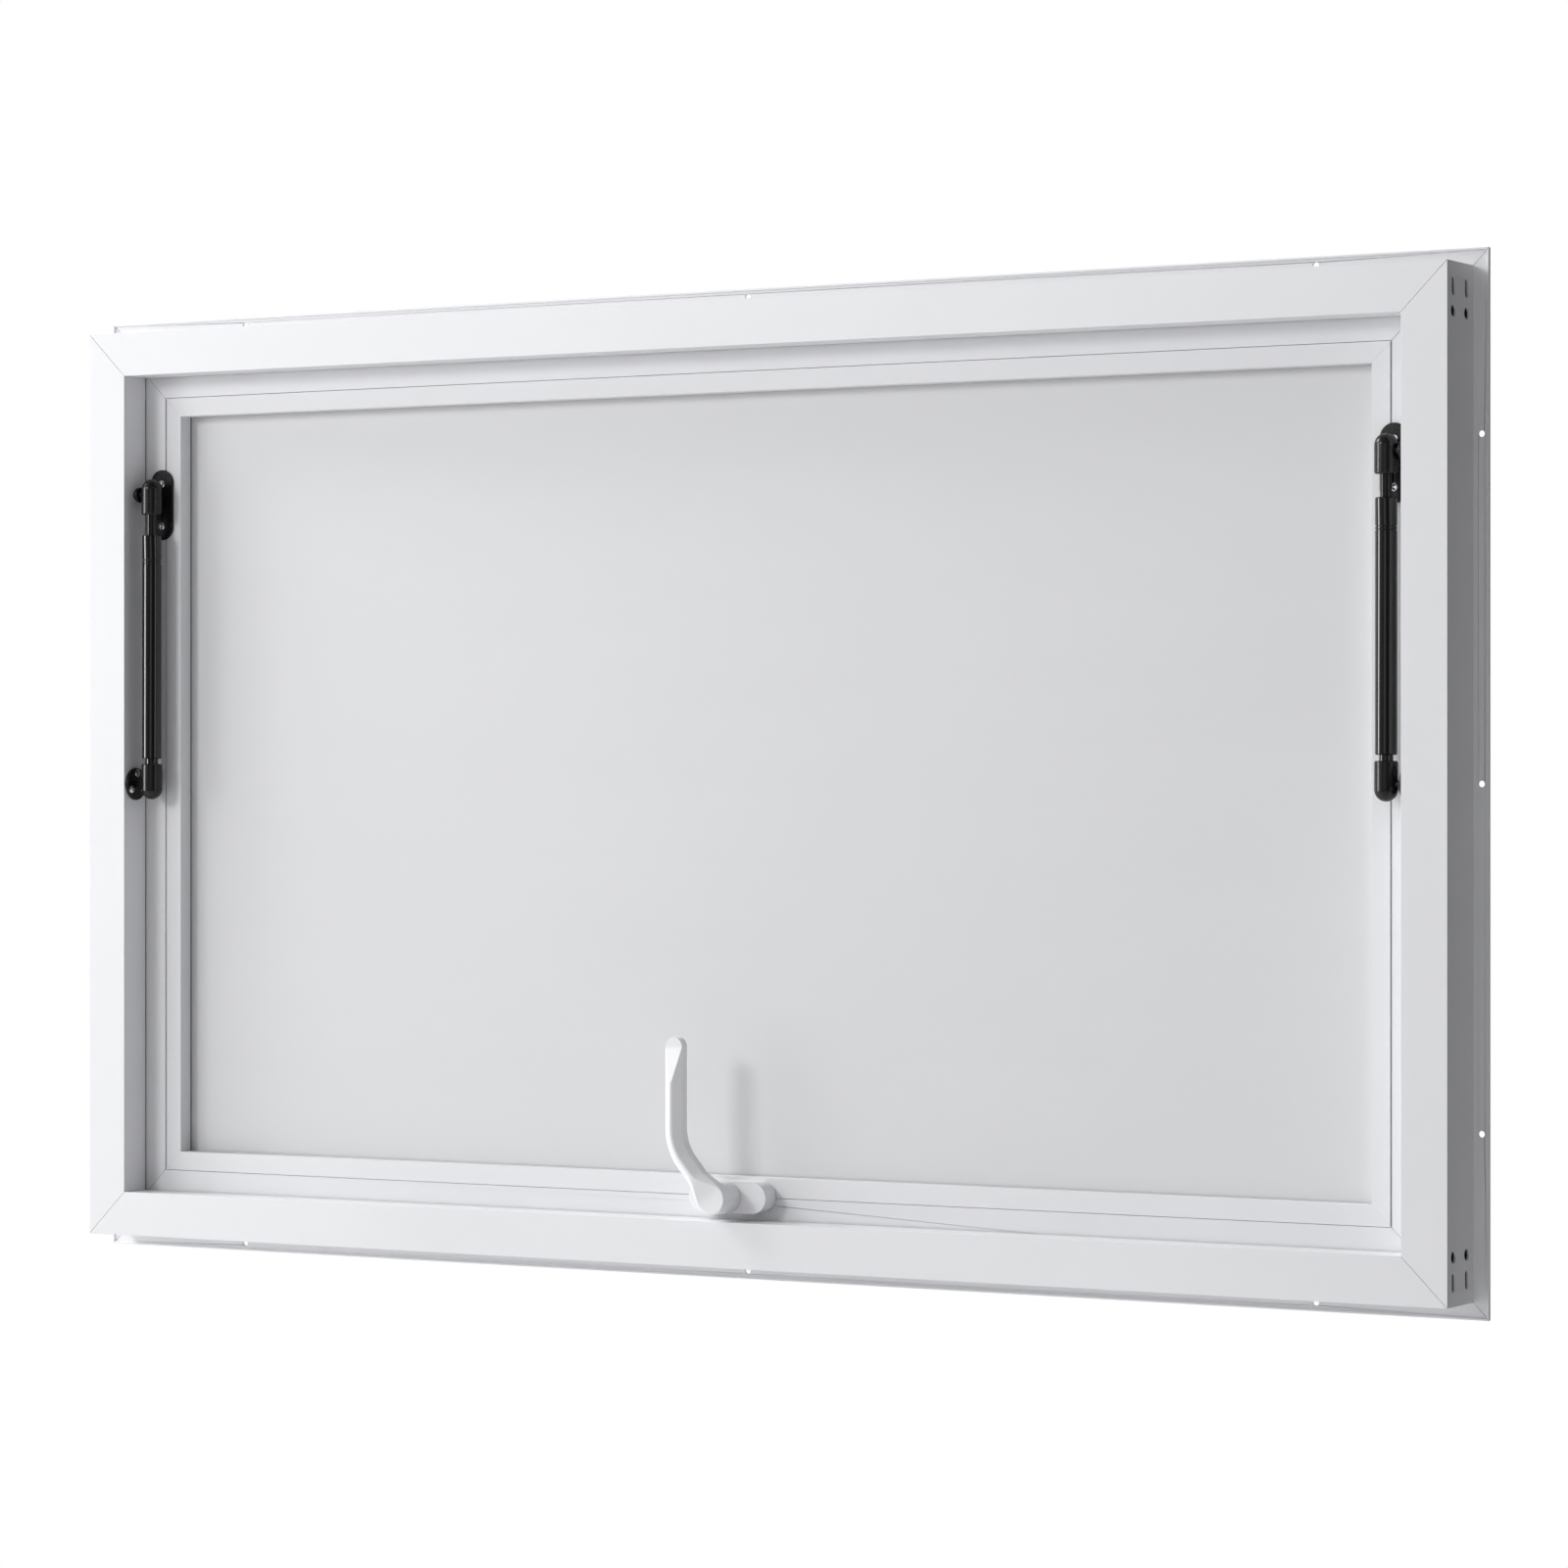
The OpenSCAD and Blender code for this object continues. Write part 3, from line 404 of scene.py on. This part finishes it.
# ------------------------------------------------------------------ gas struts
# A seamless steel tube in gloss black enamel with two rolled rings near its mouth, a black
# nitrided rod, and moulded end sockets that snap over the ball studs.
tube_black = black_enamel("gloss_black_enamel", (0.003,) * 3, (0.006,) * 3, 0.12, 260, 0.003 * MM)
tube_black.shine(0.5)
rod_black = black_enamel("black_nitride", (0.004,) * 3, (0.008,) * 3, 0.1, 90, 0.001 * MM)
socket_black = black_enamel("moulded_black", (0.006,) * 3, (0.012,) * 3, 0.24, 700, 0.008 * MM)
piston_metal = raw_aluminium("turned_aluminium", (0.55, 0.56, 0.57), (0.72, 0.73, 0.74), "z")
STRUT_PARTS = (
    ("_strut_tube", tube_black, 0.12 * MM),
    ("_strut_gland", socket_black, 0.3 * MM),
    ("_upper_socket", socket_black, 0.5 * MM),
    ("_lower_socket", socket_black, 0.5 * MM),
    ("_strut_rod", rod_black, 0.4 * MM),
    ("_strut_piston", piston_metal, 0.4 * MM),
)
for side in ("left", "right"):
    for part, finish, radius in STRUT_PARTS:
        finish.coat(nodes[side + part])
        ease(nodes[side + part], radius, 3)

# ------------------------------------------------------------------ handle base
# A die-cast housing with round ends over the crank. It takes the white coat thickly, so its edges
# look soft.
# Its white is set lighter than the frame's as painted light, standing in for light from the front
# right that the lamps give too little of.
handle_white_painted_light = powder_coat("handle_white_coat_painted_light", (0.83, 0.832, 0.85), (0.865, 0.867, 0.885), 0.36)
handle_white_painted_light.coat(nodes["handle_base"])
ease(nodes["handle_base"], 1.1 * MM, 4)

# ------------------------------------------------------------------ handle lever
# A die-cast lever: a round hub, an arm that bends up into the grip, a chamfered ridge along its
# front that dies into the hub, and a flat thumb rest sloping off at the tip.
LEVER_WIDTH = 16.6 * MM
PLATE = 8.8 * MM
RIDGE = 6.7 * MM
HUB_RIDGE = 0.6 * MM
BEND_AT = 43.5 * MM
BEND_EASE = 17 * MM
TAPER = 26 * MM
RIDGE_RUN = 26 * MM
THUMB_REST = 30 * MM
THUMB_ABOVE = 9 * MM
HUB_FACE_BACK = 3 * MM
ACROSS = 24
ARM_ROWS = 30
GRIP_ROWS = 60
END_ROWS = 14
HUB_SIDES = 96
lever_low, lever_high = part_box("handle_lever")
turn = next(joint for joint in frame["joints"] if joint["name"] == "handle_turn")
hub_x, _, hub_z = turn["pos_m"]
hub_r = lever_high.x - hub_x
half_width = LEVER_WIDTH / 2
grip_x = lever_low.x + half_width
tip_z = lever_high.z - half_width
plate_front = lever_low.y + RIDGE
plate_back = plate_front + PLATE


def smooth(share):
    """A gentle start and stop between 0 and 1."""
    share = min(max(share, 0.0), 1.0)
    return share * share * (3 - 2 * share)


def lever_line():
    """Points along the middle of the lever, from the hub up to the middle of the round tip."""
    hub = Vector((hub_x, hub_z))
    corner = Vector((grip_x, hub_z + BEND_AT))
    tip = Vector((grip_x, tip_z))
    before = corner + (hub - corner).normalized() * BEND_EASE
    after = corner + (tip - corner).normalized() * BEND_EASE
    line = [hub.lerp(before, k / ARM_ROWS) for k in range(ARM_ROWS)]
    for k in range(ARM_ROWS):
        share = k / ARM_ROWS
        line.append(before.lerp(corner, share).lerp(corner.lerp(after, share), share))
    line += [after.lerp(tip, k / GRIP_ROWS) for k in range(GRIP_ROWS + 1)]
    return line


def lever_stations(line):
    """The rows of the skin: place, direction, half width, and distance from the hub."""
    reach = [0.0]
    for here, there in zip(line, line[1:]):
        reach.append(reach[-1] + (there - here).length)
    first = (line[1] - line[0]).normalized()
    last = (line[-1] - line[-2]).normalized()
    stations = []
    for k in range(END_ROWS):
        turned = math.pi / 2 * (1 - k / END_ROWS)
        back = hub_r * math.sin(turned)
        stations.append((line[0] - first * back, first, hub_r * math.cos(turned), -back))
    for k, point in enumerate(line):
        ahead = line[min(k + 1, len(line) - 1)] - line[max(k - 1, 0)]
        width = hub_r + (half_width - hub_r) * smooth(reach[k] / TAPER)
        stations.append((point, ahead.normalized(), width, reach[k]))
    for k in range(1, END_ROWS + 1):
        turned = math.pi / 2 * k / END_ROWS
        on = half_width * math.sin(turned)
        width = half_width * math.cos(turned)
        stations.append((line[-1] + last * on, last, width, reach[-1] + on))
    return stations, reach[-1]


def front_rise(at, inside, run):
    """How far the ridge stands out at a point this far inside the outline."""
    rest_low = lever_high.z - THUMB_ABOVE - THUMB_REST
    ridge = HUB_RIDGE + (RIDGE - HUB_RIDGE) * smooth(run / RIDGE_RUN)
    rest = RIDGE * (1 - (at.y - rest_low) / THUMB_REST)
    return max(min(ridge, inside, rest), 0.0)


def lever_shell():
    """The arm and grip as one closed skin: a grid in front, flat sides and a flat back."""
    line = lever_line()
    stations, length = lever_stations(line)
    mesh = bmesh.new()
    fronts, backs = [], []
    for point, ahead, width, run in stations:
        across = Vector((ahead.y, -ahead.x))
        front, back = [], []
        for k in range(ACROSS + 1):
            share = -math.cos(math.pi * k / ACROSS)
            at = point + across * width * share
            inside = (1 - abs(share)) * width
            if run > length:
                inside = half_width - (at - line[-1]).length
            elif run < 0:
                inside = hub_r - (at - line[0]).length
            front.append(mesh.verts.new((at.x, plate_front - front_rise(at, inside, run), at.y)))
            back.append(mesh.verts.new((at.x, plate_back, at.y)))
        fronts.append(front)
        backs.append(back)
    for row in range(len(stations) - 1):
        for k in range(ACROSS):
            f, g = fronts[row], fronts[row + 1]
            mesh.faces.new((f[k], f[k + 1], g[k + 1], g[k]))
            b, c = backs[row], backs[row + 1]
            mesh.faces.new((b[k], c[k], c[k + 1], b[k + 1]))
        for k in (0, ACROSS):
            f, g = fronts[row][k], fronts[row + 1][k]
            b, c = backs[row][k], backs[row + 1][k]
            mesh.faces.new((f, g, c, b) if k == 0 else (f, b, c, g))
    bmesh.ops.remove_doubles(mesh, verts=mesh.verts, dist=0.0001 * MM)
    bmesh.ops.recalc_face_normals(mesh, faces=mesh.faces)
    return mesh


def barrel(name, x, z, radius, front, back, sides):
    """A round bar along Y."""
    mesh = bmesh.new()
    turned = Matrix.Translation((x, (front + back) / 2, z)) @ Matrix.Rotation(math.pi / 2, 4, "X")
    bmesh.ops.create_cone(
        mesh, cap_ends=True, segments=sides, radius1=radius, radius2=radius,
        depth=back - front, matrix=turned,
    )
    return as_piece(name, mesh)


lever = as_piece("lever_casting", lever_shell())
hub_front = plate_front + HUB_FACE_BACK
hub = barrel("hub_barrel", hub_x, hub_z, hub_r, hub_front, lever_high.y, HUB_SIDES)
join = lever.modifiers.new("hub", "BOOLEAN")
join.operation = "UNION"
join.solver = "EXACT"
join.use_self = True
join.object = hub
bpy.context.view_layer.update()
with_hub = lever.evaluated_get(bpy.context.evaluated_depsgraph_get())
joined = bpy.data.meshes.new_from_object(with_hub)
lever.modifiers.clear()
lever.data = joined
bpy.data.objects.remove(hub)
lever.data.polygons.foreach_set("use_smooth", [True] * len(lever.data.polygons))
# The lever takes the same lifted white, painted light, as the handle base.
handle_white_painted_light.coat(lever)
ease(lever, 0.55 * MM, 3, 28)
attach(lever, "handle")
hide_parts("handle_lever")

# ------------------------------------------------------------------ lock drive
# Stamped steel in dull zinc plate, out of sight inside the handle and the bottom rail, with the
# two keepers screwed to the sill.
dull_zinc = plated_steel("dull_zinc", (0.46, 0.465, 0.47), (0.62, 0.625, 0.63), 0.36, 120)
for stamping in ("fork_slide", "drive_bar", "lock_keepers", "handle_backplate"):
    dull_zinc.coat(nodes[stamping])
    ease(nodes[stamping], 0.2 * MM)

# ------------------------------------------------------------------ floor
# A plain pale floor, well below the window as it hangs in its wall.
FLOOR_DROP = 1.1
FLOOR_REACH = 4.5
FLOOR_SIDES = 96
floor_place = Matrix.Translation((0, 0, cad_box[0][2] - FLOOR_DROP))
disc = bmesh.new()
bmesh.ops.create_circle(
    disc, cap_ends=True, segments=FLOOR_SIDES, radius=FLOOR_REACH, matrix=floor_place,
)
floor = as_piece("floor", disc)
pale_floor = Finish("pale_floor")
speckle = pale_floor.noise(40, 3)
pale_floor.set(
    Base_Color=pale_floor.shade((0.86, 0.86, 0.865), (0.9, 0.9, 0.905), speckle + 0.5),
    Roughness=0.7 + speckle * 0.1,
)
pale_floor.coat(floor)

# ------------------------------------------------------------------ light
# Soft lamps at the left, in front and high at the left, and a faint one at the right. The room is
# bright on the left, so the right side of the frame falls into shade. Two tall strips draw the
# thin bright lines along the struts.
scene = bpy.context.scene
scene.view_settings.view_transform = "Standard"


def soft_light(name, place, size, power, diffuse=True):
    """A rectangular lamp turned to the window; without diffuse light it only draws gloss."""
    lamp = bpy.data.lights.new(name, "AREA")
    lamp.shape = "RECTANGLE"
    lamp.size, lamp.size_y = size
    lamp.energy = power
    stand = bpy.data.objects.new(name, lamp)
    stand.location = place
    stand.rotation_euler = (-Vector(place)).to_track_quat("-Z", "Y").to_euler()
    stand.visible_camera = False
    stand.visible_diffuse = diffuse
    scene.collection.objects.link(stand)


soft_light("low_left", (-3.4, -3.0, -0.3), (0.8, 1.8), 8)
soft_light("front", (-2.3, -4.2, 1.6), (1.0, 1.0), 56)
soft_light("upper_left", (-3.4, -0.6, 2.6), (1.6, 1.6), 145)
soft_light("side", (1.2, -4.4, 0.6), (1.6, 1.6), 6)
soft_light("gloss_left", (-3.8, -2.4, 0.4), (0.9, 2.6), 110, diffuse=False)
soft_light("gloss_right", (4.0, -1.1, 0.2), (0.5, 2.6), 14, diffuse=False)

# ------------------------------------------------------------------ room
# Pale walls that send light back, each side by its own share. They look plain white from the
# camera, and glossy surfaces mirror them only faintly.
ROOM_SIDES = (
    ("X", -1, 1.3), ("Y", -1, 0.27), ("Y", 1, 0.10), ("Z", 1, 0.15), ("Z", -1, 0.03),
)
GLOSS_SHARE = 0.4
studio = bpy.data.worlds.new("studio")
scene.world = studio
studio.use_nodes = True
studio.node_tree.nodes.clear()
room = Web(studio.node_tree)
way = room.node("TexCoord", output="Generated")
level = 0.0
for axis, sign, share in ROOM_SIDES:
    towards = room.node("SeparateXYZ", inputs={0: way}, output=axis) * sign
    level = level + room.node("Math", {"operation": "MAXIMUM"}, {0: towards, 1: 0.0}) * share
is_glossy = room.node("LightPath", output="Is Glossy Ray")
is_camera = room.node("LightPath", output="Is Camera Ray")
mirrored = 1.0 - is_glossy * (1 - GLOSS_SHARE)
tint = (0.985, 0.99, 1.0, 1)
lit = room.node("Background", inputs={"Color": tint, "Strength": level * mirrored})
plain = room.node("Background", inputs={"Color": (1, 1, 1, 1), "Strength": 1.0})
walls = room.node("MixShader", inputs={0: is_camera, 1: lit, 2: plain})
room_end = studio.node_tree.nodes.new("ShaderNodeOutputWorld")
room.feed(room_end, {"Surface": walls})

# ------------------------------------------------------------------ camera
# Indoors, at the height of the window's middle, well to the right and turned back towards it.
EYE = (2.208, -3.787, 0.0)
YAW = math.radians(29.83)
lens = bpy.data.cameras.new("camera")
lens.lens = 115.0
lens.sensor_width = 36.0
camera = bpy.data.objects.new("camera", lens)
camera.location = EYE
camera.rotation_euler = (math.radians(90), 0, YAW)
scene.collection.objects.link(camera)
scene.camera = camera
